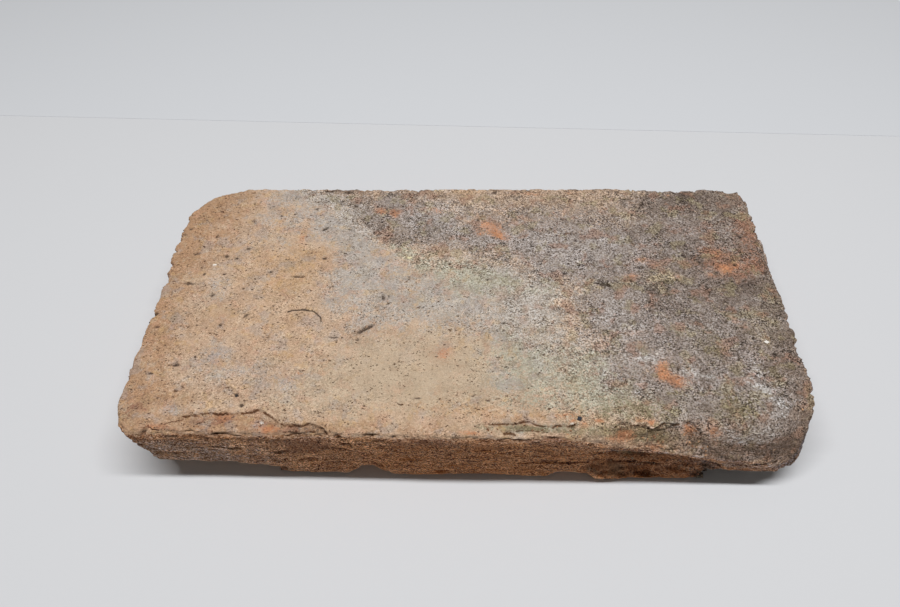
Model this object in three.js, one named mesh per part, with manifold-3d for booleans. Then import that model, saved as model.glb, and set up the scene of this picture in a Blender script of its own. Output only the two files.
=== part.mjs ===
// A thin hand-moulded clay brick, worn and chipped, as one solid.
// Millimetres, +Z up, +X along the length; the front stretcher face looks along -Y.
// The origin is the middle of the footprint, on the lower bed.
import * as THREE from 'three';
import { mergeVertices } from 'three/addons/utils/BufferGeometryUtils.js';
import { ImprovedNoise } from 'three/addons/math/ImprovedNoise.js';
import Module from 'manifold-3d';

// Overall size of the brick
const LENGTH = 280;
const WIDTH = 144;
const THICKNESS = 36;

// Edges: the upper arris runs round the struck face, the lower one round the bed
const UPPER_ARRIS = 2.2;
const LOWER_ARRIS = 4.2;
const RIM_WIDTH = 15;
const RIM_DROP = 1.4;
const RIM_WAVELENGTH = 16;

// Corners in plan: how far each is worn back along the length and across the width.
// A corner that leans is worn back further at the struck face than at the bed, or less if negative.
const BACK_LEFT_ALONG = 34;
const BACK_LEFT_ACROSS = 27;
const BACK_RIGHT_ALONG = 8;
const BACK_RIGHT_ACROSS = 8;
const FRONT_RIGHT_ALONG = 8;
const FRONT_RIGHT_ACROSS = 16;
const FRONT_RIGHT_LEAN = 11;
const FRONT_LEFT_ALONG = 19;
const FRONT_LEFT_ACROSS = 30;
const FRONT_LEFT_LEAN = -9;

// Unevenness of the moulded sides, always inwards from the nominal face
const SIDE_WANDER = 1.0;
const SIDE_WAVELENGTH = 46;
const SIDE_RIPPLE = 0.6;
const RIPPLE_WAVELENGTH = 11;
const END_SCALLOP = 1.6;
const SCALLOP_WAVELENGTH = 19;

// Worn slope of the upper front arris, which deepens evenly towards the right end
const SLOPE_LENGTH = 102;
const SLOPE_DEPTH = 22;
const SLOPE_REACH = 13;

// Lower front arris broken away from the left end, and the corner above it
const LEFT_BREAK_LENGTH = 64;
const LEFT_BREAK_HEIGHT = 12;
const LEFT_BREAK_DEPTH = 15;
const LEFT_CORNER_BITE = 13;
const LEFT_CORNER_HEIGHT = 36;

// Lower right front corner broken away, with a steeper bite at its tip
const RIGHT_BREAK_LENGTH = 39;
const RIGHT_BREAK_DEPTH = 32;
const RIGHT_BREAK_HEIGHT = 12.5;
const RIGHT_TIP_LENGTH = 11;
const RIGHT_TIP_DEPTH = 22;
const RIGHT_TIP_HEIGHT = 15.5;

// Spall in the front face, deepest under its upper edge, which overhangs it
const SPALL_FROM_END = 64;
const SPALL_LENGTH = 52;
const SPALL_HEIGHT = 22;
const SPALL_DEPTH = 5;
const SPALL_CENTRE = 12.5;
const SPALL_TILT = 11;
const SPALL_LEAN = 18;

// Two small chips of the lower front arris
const CHIP_FROM_LEFT = 101;
const CHIP_LENGTH = 17;
const CHIP_HEIGHT = 9;
const CHIP_DEPTH = 8;
const SHALLOW_CHIP_FROM_RIGHT = 96;
const SHALLOW_CHIP_LENGTH = 20;
const SHALLOW_CHIP_HEIGHT = 7;
const SHALLOW_CHIP_DEPTH = 5;

// Open folds, where the clay lapped over itself along the front arris
const FOLD_WIDTH = 1.7;
const FOLD_DEPTH = 2.4;
const CURL_WIDTH = 2.6;
const CURL_DEPTH = 2.2;

// Spacing of the points along the outline, up the sides and along the folds
const OUTLINE_STEP = 4.4;
const SIDE_STEP = 5;
const FOLD_STEP = 3;

const left = -LENGTH / 2;
const right = LENGTH / 2;
const front = -WIDTH / 2;

const wasm = await Module();
wasm.setup();
const perlin = new ImprovedNoise();

// Smooth noise from 0 to 1, one bump in about every wavelength
function bumps(point, wavelength, seed = 0) {
  const noise = perlin.noise(point.x / wavelength + seed, point.y / wavelength, point.z / wavelength);
  return THREE.MathUtils.clamp(0.5 + 0.75 * noise, 0, 1);
}

// The same noise folded into rounded scallops that meet in sharp cusps
function scallops(point, wavelength, seed = 0) {
  return Math.max(0, 1 - Math.abs(3 * bumps(point, wavelength, seed) - 1.5));
}

const corners = [
  { sx: 1, sy: -1, along: FRONT_RIGHT_ALONG, across: FRONT_RIGHT_ACROSS, lean: FRONT_RIGHT_LEAN },
  { sx: 1, sy: 1, along: BACK_RIGHT_ALONG, across: BACK_RIGHT_ACROSS, lean: 0 },
  { sx: -1, sy: 1, along: BACK_LEFT_ALONG, across: BACK_LEFT_ACROSS, lean: 0 },
  { sx: -1, sy: -1, along: FRONT_LEFT_ALONG, across: FRONT_LEFT_ACROSS, lean: FRONT_LEFT_LEAN },
];

// One worn corner of the outline as a quarter ellipse, counter-clockwise
function cornerArc(corner, index, inset, height) {
  const smallest = 5;
  const worn = corner.lean * height / THICKNESS;
  const along = Math.max(corner.along + worn - inset, smallest);
  const across = Math.max(corner.across + worn - inset, smallest);
  const centreX = corner.sx * (LENGTH / 2 - inset - along);
  const centreY = corner.sy * (WIDTH / 2 - inset - across);
  const start = (index - 1) * Math.PI / 2;
  const arc = new THREE.EllipseCurve(centreX, centreY, along, across, start, start + Math.PI / 2);
  const arcLength = Math.hypot(corner.along, corner.across) * 1.11;
  return arc.getSpacedPoints(Math.max(3, Math.round(arcLength / OUTLINE_STEP)));
}

// The outline of the brick at a height, moved inwards by an inset, always with as many points
function outline(inset, height) {
  const arcs = corners.map((corner, index) => cornerArc(corner, index, inset, height));
  return arcs.flatMap((arc, index) => {
    const from = arc[arc.length - 1];
    const to = arcs[(index + 1) % arcs.length][0];
    const pieces = Math.round((index % 2 ? LENGTH : WIDTH) / OUTLINE_STEP);
    const side = Array.from({ length: pieces - 1 }, (_, i) => from.clone().lerp(to, (i + 1) / pieces));
    return [...arc, ...side];
  });
}

// How far the struck face is worn down by the slope along the front arris.
// The slope runs out behind the arris, and round the front right corner as the side turns away.
function slopeDrop(x, behindArris, facingFront = 1) {
  const along = THREE.MathUtils.clamp((x - (right - SLOPE_LENGTH)) / SLOPE_LENGTH, 0, 1);
  const reach = SLOPE_REACH * (0.35 + 0.65 * along);
  const across = 1 - THREE.MathUtils.smoothstep(behindArris, 0, reach);
  return SLOPE_DEPTH * along * across * THREE.MathUtils.smoothstep(facingFront, 0, 1);
}

// How far a moulded side lies inside its nominal face
function sideInset(point, normal) {
  const towardsLeft = Math.max(0, -normal.x);
  const wander = SIDE_WANDER * bumps(point, SIDE_WAVELENGTH);
  const ripple = SIDE_RIPPLE * bumps(point, RIPPLE_WAVELENGTH, 7.3);
  const lumpy = new THREE.Vector3(point.x, point.y, point.z * 1.5);
  return wander + ripple + END_SCALLOP * towardsLeft * scallops(lumpy, SCALLOP_WAVELENGTH, 3.1);
}

// The section from the lower bed to the flat of the struck face, as insets and heights
function section() {
  const arrisSteps = 3;
  const quarter = Array.from({ length: arrisSteps + 1 }, (_, i) => i / arrisSteps * Math.PI / 2);
  const lowerArris = quarter.map((angle) => ({
    inset: LOWER_ARRIS * (1 - Math.sin(angle)),
    height: LOWER_ARRIS * (1 - Math.cos(angle)),
  }));
  const upperArris = quarter.map((angle) => ({
    inset: UPPER_ARRIS * (1 - Math.cos(angle)),
    height: THICKNESS - UPPER_ARRIS * (1 - Math.sin(angle)),
  }));
  const sideHeight = THICKNESS - LOWER_ARRIS - UPPER_ARRIS;
  const sideSteps = Math.round(sideHeight / SIDE_STEP);
  const side = Array.from({ length: sideSteps - 1 }, (_, i) => ({
    inset: 0,
    height: LOWER_ARRIS + sideHeight * (i + 1) / sideSteps,
  }));
  const rimSteps = 3;
  const rim = Array.from({ length: rimSteps }, (_, i) => ({
    inset: UPPER_ARRIS + (RIM_WIDTH - UPPER_ARRIS) * (i + 1) / rimSteps,
    height: THICKNESS,
  }));
  return [...lowerArris, ...side, ...upperArris, ...rim];
}

// One ring of the loft: the outline at its inset, made uneven and worn down
function loftRing({ inset, height }) {
  const flat = outline(inset, height);
  const nearRim = THREE.MathUtils.clamp(1 - inset / RIM_WIDTH, 0, 1);
  return flat.map((point, i) => {
    const before = flat.at(i - 1);
    const after = flat[(i + 1) % flat.length];
    const normal = new THREE.Vector2(after.y - before.y, before.x - after.x).normalize();
    const nominal = new THREE.Vector3(point.x, point.y, height);
    const shift = sideInset(nominal, normal) * nearRim;
    const x = point.x - normal.x * shift;
    const y = point.y - normal.y * shift;
    const rimDrop = RIM_DROP * nearRim ** 2 * bumps(nominal, RIM_WAVELENGTH, 5.7);
    const drop = slopeDrop(x, inset, -normal.y) + rimDrop;
    return new THREE.Vector3(x, y, height * (1 - drop / THICKNESS));
  });
}

function solid(positions, indices) {
  return new wasm.Manifold(new wasm.Mesh({
    numProp: 3,
    vertProperties: new Float32Array(positions),
    triVerts: new Uint32Array(indices),
  }));
}

// A closed solid through rings of equally many points; the end rings are filled.
// Each four-sided face is split along its shorter diagonal.
function loft(rings, plane = ['x', 'y']) {
  const count = rings[0].length;
  const last = (rings.length - 1) * count;
  const points = rings.flat();
  const indices = [];
  for (let start = 0; start < last; start += count) {
    for (let i = 0; i < count; i += 1) {
      const a = start + i;
      const b = start + (i + 1) % count;
      const [c, d] = [b + count, a + count];
      const rising = points[a].distanceTo(points[c]) < points[b].distanceTo(points[d]);
      indices.push(...(rising ? [a, b, c, a, c, d] : [a, b, d, b, c, d]));
    }
  }
  const flatten = (ring) => ring.map((point) => new THREE.Vector2(...plane.map((axis) => point[axis])));
  THREE.ShapeUtils.triangulateShape(flatten(rings[0]), []).forEach(([a, b, c]) => {
    indices.push(a, c, b);
  });
  THREE.ShapeUtils.triangulateShape(flatten(rings.at(-1)), []).forEach(([a, b, c]) => {
    indices.push(last + a, last + b, last + c);
  });
  return solid(points.flatMap((point) => point.toArray()), indices);
}

// A lumpy rounded block that leaves a broken surface where it is cut away
function lump({ centre, size, squareness = 2, tilt = 0, lean = 0, detail = 5, roughness = 0.35, seed = 0 }) {
  const ball = new THREE.IcosahedronGeometry(1, detail);
  ball.deleteAttribute('normal');
  ball.deleteAttribute('uv');
  const { attributes, index } = mergeVertices(ball);
  const turn = new THREE.Euler(THREE.MathUtils.degToRad(lean), THREE.MathUtils.degToRad(tilt), 0);
  const positions = Array.from({ length: attributes.position.count }, (_, i) => {
    const point = new THREE.Vector3().fromBufferAttribute(attributes.position, i);
    const powers = point.toArray().map((value) => Math.abs(value) ** squareness);
    const blockiness = (powers[0] + powers[1] + powers[2]) ** (-1 / squareness);
    const unevenness = bumps(point, 0.6, seed) + 0.5 * bumps(point, 0.24, seed + 5.1) - 0.75;
    point.multiplyScalar(blockiness * (1 + roughness * unevenness));
    return point.multiply(size).applyEuler(turn).add(centre).toArray();
  });
  return solid(positions.flat(), [...index.array]);
}

// A piece broken out of the lower front arris
function arrisChip(x, chipLength, chipDepth, chipHeight, options) {
  return lump({
    centre: new THREE.Vector3(x, front, 0),
    size: new THREE.Vector3(chipLength / 2, chipDepth, chipHeight),
    ...options,
  });
}

// The way out of the clay at a point near the front arris: up, forwards or between
function outwards({ x, y, z }) {
  const behindFront = y - front;
  const underTop = THICKNESS - slopeDrop(x, behindFront) - z;
  const turn = THREE.MathUtils.clamp((behindFront - underTop) / UPPER_ARRIS / 2 + 0.5, 0, 1);
  return new THREE.Vector3(0, turn - 1, turn).normalize();
}

// An open fold, cut along a curve and running out to nothing at both ends.
// Each point is a distance along from an end, in from the front and down from the struck face.
function fold({ end, points, width = FOLD_WIDTH, depth = FOLD_DEPTH }) {
  const route = new THREE.CatmullRomCurve3(points.map(([along, inFromFront, down]) => {
    const x = end + along;
    return new THREE.Vector3(x, front + inFromFront, THICKNESS - slopeDrop(x, inFromFront) - down);
  }));
  const steps = Math.round(route.getLength() / FOLD_STEP);
  const rings = Array.from({ length: steps + 1 }, (_, i) => {
    const middle = route.getPointAt(i / steps);
    const open = 0.2 + 0.8 * Math.sqrt(Math.sin(Math.PI * i / steps));
    const out = outwards(middle);
    const across = new THREE.Vector3().crossVectors(route.getTangentAt(i / steps), out).normalize();
    const corner = (sideways, outward) => middle.clone()
      .addScaledVector(across, width * open * sideways)
      .addScaledVector(out, outward);
    return [corner(-0.5, FOLD_DEPTH / 2), corner(0.5, FOLD_DEPTH / 2), corner(0.1, -depth * open)];
  });
  return loft(rings, ['y', 'z']);
}

const brokenEdges = [
  arrisChip(left, LEFT_BREAK_LENGTH * 2, LEFT_BREAK_DEPTH, LEFT_BREAK_HEIGHT,
    { squareness: 3.6, seed: 1.7, detail: 9 }),
  lump({
    centre: new THREE.Vector3(left, front, LEFT_CORNER_HEIGHT * 0.42),
    size: new THREE.Vector3(LEFT_CORNER_BITE, LEFT_CORNER_BITE, LEFT_CORNER_HEIGHT / 2),
    squareness: 2.6, seed: 4.2, roughness: 0.3,
  }),
  arrisChip(right, RIGHT_BREAK_LENGTH * 2, RIGHT_BREAK_DEPTH, RIGHT_BREAK_HEIGHT,
    { squareness: 3.6, seed: 8.4, detail: 8 }),
  arrisChip(right, RIGHT_TIP_LENGTH * 2, RIGHT_TIP_DEPTH, RIGHT_TIP_HEIGHT, { seed: 2.9 }),
  lump({
    centre: new THREE.Vector3(right - SPALL_FROM_END, front + SIDE_WANDER / 2, SPALL_CENTRE),
    size: new THREE.Vector3(SPALL_LENGTH / 2, SPALL_DEPTH, SPALL_HEIGHT / 2),
    squareness: 4, tilt: SPALL_TILT, lean: -SPALL_LEAN, roughness: 0.25, seed: 6.1, detail: 8,
  }),
  arrisChip(left + CHIP_FROM_LEFT, CHIP_LENGTH, CHIP_DEPTH, CHIP_HEIGHT, { seed: 5.5, detail: 3 }),
  arrisChip(right - SHALLOW_CHIP_FROM_RIGHT, SHALLOW_CHIP_LENGTH, SHALLOW_CHIP_DEPTH, SHALLOW_CHIP_HEIGHT,
    { squareness: 3, seed: 9.6, detail: 3 }),
];

const folds = [
  fold({
    end: left,
    points: [[24, 8, 0], [34, 9.5, 0.4], [48, 9, 0.4], [60, 10, 0.4], [68, 6.5, 0.5], [78, 5.5, 0.6]],
  }),
  fold({
    end: left,
    points: [[74, 6, 0.8], [84, 4.4, 0.9], [91, 1.6, 1.4], [95, 0.9, 6], [101, 1, 12]],
    width: CURL_WIDTH,
    depth: CURL_DEPTH,
  }),
  fold({
    end: right,
    points: [[-135, 7, 0], [-118, 6.6, 0.4], [-112, 8.4, 0.4], [-98, 6.6, 0.4], [-84, 8, 0.4], [-66, 6.4, 0.4],
      [-58, 9, 0.4], [-48, 8, 0]],
  }),
];

const slab = loft(section().map(loftRing));
const brickSolid = [...brokenEdges, ...folds].reduce((body, cut) => body.subtract(cut), slab);

// The solid as a mesh, moved so that the middle of its footprint is the origin
function brickGeometry() {
  const { vertProperties, triVerts } = brickSolid.getMesh();
  const geometry = new THREE.BufferGeometry();
  geometry.setAttribute('position', new THREE.BufferAttribute(vertProperties, 3));
  geometry.setIndex(new THREE.BufferAttribute(triVerts, 1));
  geometry.computeBoundingBox();
  const middle = geometry.boundingBox.getCenter(new THREE.Vector3());
  geometry.translate(-middle.x, -middle.y, -geometry.boundingBox.min.z);
  geometry.computeVertexNormals();
  return geometry;
}

const clay = new THREE.MeshStandardMaterial({ color: '#a98a6c', roughness: 0.95, metalness: 0 });
const brick = new THREE.Mesh(brickGeometry(), clay);
brick.name = 'brick';

const group = new THREE.Group();
group.add(brick);
export default group;
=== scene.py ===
import math
import bmesh
import bpy
import numpy as np
from mathutils import Matrix, Vector


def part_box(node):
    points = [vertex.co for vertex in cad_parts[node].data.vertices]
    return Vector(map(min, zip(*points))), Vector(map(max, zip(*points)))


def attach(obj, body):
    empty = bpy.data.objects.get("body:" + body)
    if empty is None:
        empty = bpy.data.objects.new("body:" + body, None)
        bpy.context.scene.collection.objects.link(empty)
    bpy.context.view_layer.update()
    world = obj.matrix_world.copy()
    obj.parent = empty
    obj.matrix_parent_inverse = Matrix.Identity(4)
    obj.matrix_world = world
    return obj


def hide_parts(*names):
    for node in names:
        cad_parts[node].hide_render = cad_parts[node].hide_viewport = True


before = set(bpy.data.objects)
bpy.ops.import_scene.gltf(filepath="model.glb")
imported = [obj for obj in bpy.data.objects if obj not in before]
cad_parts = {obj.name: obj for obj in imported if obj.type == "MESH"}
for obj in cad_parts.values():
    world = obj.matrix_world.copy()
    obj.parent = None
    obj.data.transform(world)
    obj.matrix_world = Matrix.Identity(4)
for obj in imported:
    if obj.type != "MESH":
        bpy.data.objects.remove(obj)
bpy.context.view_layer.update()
mm = 0.001
lowCorner, highCorner = (np.array(corner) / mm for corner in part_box("brick"))
topHeight = highCorner[2]
frontEdge = lowCorner[1]


# Numbers and noise, all in millimetres

def colour(hexText):  # sRGB text to the linear numbers that Blender keeps
    channels = [int(hexText[i:i + 2], 16) / 255 for i in (1, 3, 5)]
    return [c / 12.92 if c <= 0.04045 else ((c + 0.055) / 1.055) ** 2.4 for c in channels] + [1.0]


def smoothstep(low, high, value):
    t = np.clip((value - low) / (high - low), 0, 1)
    return t * t * (3 - 2 * t)


def scramble(cells, seed):  # one repeatable random integer for each cell of a lattice
    n = cells.astype(np.uint64)
    mixed = n[..., 0] * 73856093 ^ n[..., 1] * 19349663 ^ n[..., 2] * 83492791
    mixed = (mixed ^ mixed >> np.uint64(13)) * np.uint64(1274126177) + np.uint64(seed * 7919 + 13)
    mixed = (mixed ^ mixed >> np.uint64(16)) * np.uint64(2654435761)
    return mixed ^ mixed >> np.uint64(15)


def fractions(integers, shifts=(0, 8, 16)):  # several numbers from 0 to 1 out of each integer
    return np.stack([(integers >> np.uint64(s) & np.uint64(255)) / 255.0 for s in shifts], -1)


def noise(points, size, seed=0, stretch=(1, 1, 1)):  # smooth, about -1 to 1, bumps about size apart
    p = points / (size * np.array(stretch, float)) + 17.3 * seed + 511.7
    cell = np.floor(p).astype(np.int64)
    f = p - cell
    fade = f * f * f * (f * (f * 6 - 15) + 10)
    total = np.zeros(len(p))
    for index in range(8):
        offset = np.array([index & 1, index >> 1 & 1, index >> 2 & 1])
        gradient = fractions(scramble(cell + offset, seed)) * 2 - 1
        weight = np.prod(np.where(offset, fade, 1 - fade), axis=1)
        total += weight * ((f - offset) * gradient).sum(1)
    return total * 1.6


def layers(points, size, octaves, seed=0, stretch=(1, 1, 1), rough=0.5):  # noise at several sizes
    shares = [rough ** i for i in range(octaves)]
    total = sum(s * noise(points, size / 2 ** i, seed + i, stretch) for i, s in enumerate(shares))
    return total / math.sqrt(sum(s * s for s in shares))


def sideways(points, size, octaves, seeds, rough=0.5):  # a shift along and across for each point
    return np.stack([layers(points, size, octaves, seed, rough=rough) for seed in seeds], 1)


def pits(points, spacing, radius, share, seed=0, stretch=(1, 1, 1)):  # scattered round dents, 0 to 1
    p = points / (spacing * np.array(stretch, float)) + 311.7 + seed
    cell = np.floor(p).astype(np.int64)
    deepest = np.zeros(len(p))
    for index in range(27):
        near = cell + np.array([index % 3, index // 3 % 3, index // 9]) - 1
        dice = scramble(near, seed)
        centre = near + 0.15 + 0.7 * fractions(dice)
        size, chance = fractions(dice, (24, 40)).T
        reach = radius / spacing * (0.45 + 0.55 * size)
        away = np.linalg.norm(p - centre, axis=1) / reach
        deepest = np.maximum(deepest, (chance < share) * (0.4 + 0.6 * size) * (1 - smoothstep(0.2, 1, away)))
    return deepest


def curved(points, steps=5):  # a smooth line through a few points
    p = np.array([points[0], *points, points[-1]], float)
    line = []
    for a, b, c, d in zip(p, p[1:], p[2:], p[3:]):
        for t in np.arange(steps) / steps:
            line.append(0.5 * (2 * b + (c - a) * t + (2 * a - 5 * b + 4 * c - d) * t ** 2
                               + (3 * b - a - 3 * c + d) * t ** 3))
    return np.array(line + [p[-1]])


def toLine(places, line):  # distance to a line, how far along it (0 to 1), and the side, +1 on its left
    line = np.asarray(line, float)
    best = np.full(len(places), 1e9)
    along = np.zeros(len(places))
    side = np.ones(len(places))
    lengths = np.linalg.norm(np.diff(line, axis=0), axis=1)
    starts = np.concatenate([[0], np.cumsum(lengths)])
    for i, (a, b) in enumerate(zip(line[:-1], line[1:])):
        step = b - a
        t = np.clip((places - a) @ step / lengths[i] ** 2, 0, 1)
        gap = places - a - t[:, None] * step
        away = np.linalg.norm(gap, axis=1)
        nearer = away < best
        best[nearer] = away[nearer]
        along[nearer] = (starts[i] + t[nearer] * lengths[i]) / starts[-1]
        side[nearer] = np.sign(step[0] * gap[nearer, 1] - step[1] * gap[nearer, 0])
    return best, along, side


def bend(points, seed):  # shifts of a few millimetres, so that no blotch keeps a drawn outline
    slow = np.stack([noise(points, 19, seed + i) for i in (0, 1)], 1)
    quick = np.stack([noise(points, 5, seed + i) for i in (2, 3)], 1)
    return 6 * slow, 2.2 * quick


def turned(places, along, across, angle=0):  # places as shares of the half widths of a turned oval
    turn = math.radians(angle)
    x, y = places.T
    return ((x * math.cos(turn) + y * math.sin(turn)) / along,
            (-x * math.sin(turn) + y * math.cos(turn)) / across)


def blotches(points, places, seed=0, grain=5, tear=0.8):  # stains joined where they meet, with torn fringes
    slow, quick = bend(points, seed)
    bare = np.ones(len(points))
    for x, y, along, across, strength, *angle in places:
        size = min(along, across)
        moved = points[:, :2] - (x, y) + slow * min(1, size / 12) ** 1.5 + quick * min(1, size / 4)
        u, v = turned(moved, along, across, *angle)
        bare *= 1 - strength * np.exp(-0.7 * (u * u + v * v))
    cover = 1 - bare
    torn = layers(points, grain, 4, seed + 7, rough=0.7)
    return cover * ((1 - tear) + tear * smoothstep(-0.55, 0.45, torn + 1.6 * cover - 0.6))


def dimples(points, places, seed=0, sharp=2.5):  # small ragged hollows at given places, as deep as given
    ragged = layers(points, 1.6, 2, seed, rough=0.7) * 0.5
    deepest = np.zeros(len(points))
    for x, y, along, across, depth, *angle in places:
        near = np.nonzero(np.hypot(points[:, 0] - x, points[:, 1] - y) < 3 * max(along, across))[0]
        u, v = turned(points[near, :2] - (x, y), along, across, *angle)
        reach = np.clip(np.hypot(u, v) + ragged[near], 0, None)
        deepest[near] = np.maximum(deepest[near], depth * np.exp(-0.7 * reach ** sharp))
    return deepest


# Meshes

def vertexNumbers(mesh, normals=False):
    values = np.zeros(len(mesh.vertices) * 3, np.float32)
    if normals:
        mesh.vertex_normals.foreach_get("vector", values)
    else:
        mesh.vertices.foreach_get("co", values)
    return values.reshape(-1, 3).astype(float) / (1 if normals else mm)


def setVertices(mesh, points):
    mesh.vertices.foreach_set("co", (points * mm).astype(np.float32).ravel())
    mesh.update()


def setAttribute(mesh, name, values):
    layer = mesh.attributes.new(name, "FLOAT", "POINT")
    layer.data.foreach_set("value", np.asarray(values, np.float32))


def bakeModifiers(piece):
    graph = bpy.context.evaluated_depsgraph_get()
    mesh = bpy.data.meshes.new_from_object(piece.evaluated_get(graph), preserve_all_data_layers=True,
                                           depsgraph=graph)
    piece.modifiers.clear()
    piece.data = mesh
    mesh.name = piece.name


def newPiece(name, mesh):
    piece = bpy.data.objects.new(name, mesh)
    bpy.context.scene.collection.objects.link(piece)
    return piece


def facing(normals):  # how far each point faces up, down, to a side and to the front, and lies on an arris
    up = smoothstep(0.5, 0.9, normals[:, 2])
    down = smoothstep(0.55, 0.95, -normals[:, 2])
    front = smoothstep(0.2, 0.6, -normals[:, 1])
    arris = smoothstep(0.1, 0.4, normals[:, 2]) * (1 - smoothstep(0.75, 0.97, normals[:, 2]))
    return up, down, 1 - np.maximum(up, down), front, arris


# The weathered clay body

bodyShape = {
    "cell": 1.22,  # between the vertices of the body
    "finer": 0.9,  # how near to a dent, lap or hair crack the cells are halved once more
    "frontBand": 5.0,  # depth of the front band with halved cells
    "rimBand": 5.0,  # width of the same band round the struck face
    "topDepth": 4.0,  # how far below the struck face the halved cells reach
    "bedFaces": 0.05,  # share of the faces kept on the flat bed
    "soften": 2,  # rounds of smoothing over the modelled facets
    "waves": 0.14,  # slow unevenness of the struck face
    "sand": 0.1,  # its sandy relief
    "pitDepth": 0.45,
    "roughEnd": 0.3,  # extra roughness of the weathered right part
    "sideRelief": 0.5,  # layered relief of the moulded sides
    "gouges": 1.2,  # drawn-out hollows in the sides
    "nibble": 0.9,  # ragged wear of the arrises
    "bites": 1.1,  # bites out of the upper arris
    "ledge": 0.7,  # broken relief of the strip in front of the laps
    "cornerShave": 2.6,  # rounding of the lower corner left of the right break
}

# Open laps of the clay along the struck face: width, depth, the drop before them, and points along and across
laps = [
    (0.34, 0.9, 0.9, [(-110, -63.8), (-107, -63.2), (-104, -62.6), (-100, -62), (-97, -61.9), (-94, -62.4),
        (-91, -61.8), (-87, -61.7), (-83, -61.2), (-80.6, -60.4), (-78.6, -60.6), (-76, -61.8), (-74, -63),
        (-72, -64.8), (-70, -66)]),
    (0.42, 1.2, 0.9, [(-70, -66), (-67.6, -66.5), (-65, -66.2), (-62, -66.7), (-59.6, -66), (-56, -66.7),
        (-53.4, -68), (-51, -70.4)]),
    (0.3, 0.6, 0, [(-115.4, -67.2), (-113, -66), (-110, -65.6), (-108, -64.4)]),
    (0.35, 0.7, 0, [(-124, -68.2), (-121.5, -68.6), (-119, -69), (-116.6, -69.8)]),
    (0.55, 0.9, 0, [(-68.6, -69.2), (-65, -69), (-61, -68.6), (-56, -68.9)]),
    (0.3, 0.3, 0, [(-82, -63.4), (-80, -63), (-78, -63.8), (-77, -65)]),
    (0.32, 0.7, 0.6, [(7.6, -65.8), (9, -65.2), (12, -65), (16, -64.8), (19.6, -64.6), (21.6, -63.8),
        (25, -63.6), (28, -64.5), (31, -65.2), (34, -65.5), (37, -65), (41, -65), (44.6, -63.8)]),
    (0.45, 0.8, 0.5, [(57.6, -65.8), (60.6, -64.4), (65, -64.7), (69.6, -64.3)]),
    (0.5, 1.0, 0.6, [(69.6, -66), (73.4, -65.4), (76.8, -63.4), (79.6, -63.6), (82.4, -63.5)]),
    (0.4, 0.7, 0.5, [(83.6, -64), (86.6, -62.8), (89.6, -64.6), (93, -67.4), (97, -69.4)]),
    (0.6, 0.7, 0, [(15.4, -68.8), (17.6, -68.5), (20, -69)]),
    (0.3, 0.3, 0, [(20, -67.6), (26, -67.2), (33, -67.8)]),
    (0.5, 0.6, 0, [(62, -70.4), (72, -70), (80, -70.6)]),
    (0.6, 0.6, 0, [(97, -70), (104, -71), (113, -71.6), (121, -71)]),
]
hairCrack = {"way": [(-77, -11.3), (-74, -10.4), (-69, -10.2), (-65, -11.6), (-62.6, -14), (-61.6, -16.5)],
             "width": 0.36}

# Cracks in the front face: width, depth, and points along and up
faceCracks = [
    (0.4, 0.7, [(-100, 25), (-93, 24.4), (-86, 25)]),
    (0.4, 0.7, [(-124, 20), (-116, 19), (-110, 19.6)]),
    (0.4, 0.7, [(-58, 24), (-50, 25), (-44, 24)]),
    (0.4, 0.6, [(-30, 12), (-22, 14), (-14, 17)]),
    (0.6, 0.9, [(20, 13), (30, 15), (42, 15.5), (52, 17)]),
    (0.4, 0.6, [(18, 10), (30, 10.5), (40, 11)]),
    (1.0, 1.2, [(-76, 21.6), (-73, 21), (-70, 21.8)]),
    (1.2, 1.5, [(50, 22), (58, 25), (66, 24.4), (76, 21.5), (88, 18), (99, 14)]),
    (0.7, 0.9, [(58, 10), (70, 9.5), (82, 8)]),
    (0.5, 0.5, [(104, 16), (116, 16.5), (126, 18)]),
]

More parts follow.
